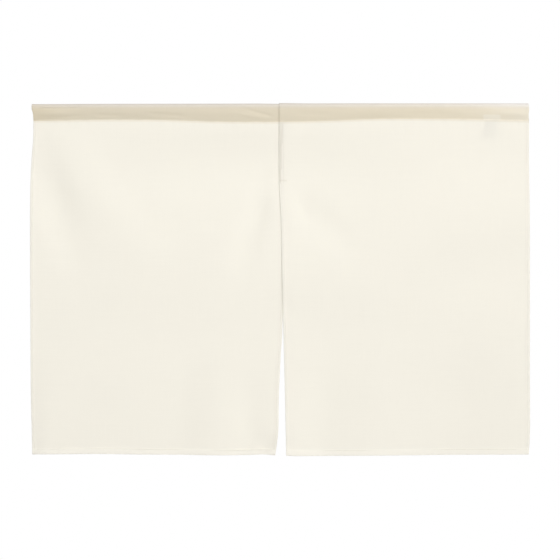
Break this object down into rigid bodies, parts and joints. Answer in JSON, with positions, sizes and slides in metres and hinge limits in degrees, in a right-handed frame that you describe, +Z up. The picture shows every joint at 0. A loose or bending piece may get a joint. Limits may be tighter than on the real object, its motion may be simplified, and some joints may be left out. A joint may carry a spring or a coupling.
{
  "type": "noren curtain",
  "caption": "Plain noren doorway curtain: split cloth panels, lapped and sewn above a centre slit, hanging straight from an open rod casing.",
  "frame": {"origin": "middle of the top fold, in the plane of the stitch line, where a rod would carry the curtain", "axes": "+X along the top edge to the viewer's right, +Y through the cloth to its back, +Z up"},
  "size_m": [0.8524, 0.0162, 0.6011],
  "materials": {
    "panel_cloth": "matt ivory plain weave, slightly sheer",
    "casing_cloth": "the same ivory cloth in several layers, which reads as beige",
    "label_tape": "smooth white satin tape, blank"
  },
  "bodies": {
    "root": {"panel_left": "panel_cloth", "panel_right": "panel_cloth", "casing_left": "casing_cloth", "casing_right": "casing_cloth", "care_label": "label_tape"}
  },
  "joints": []
}
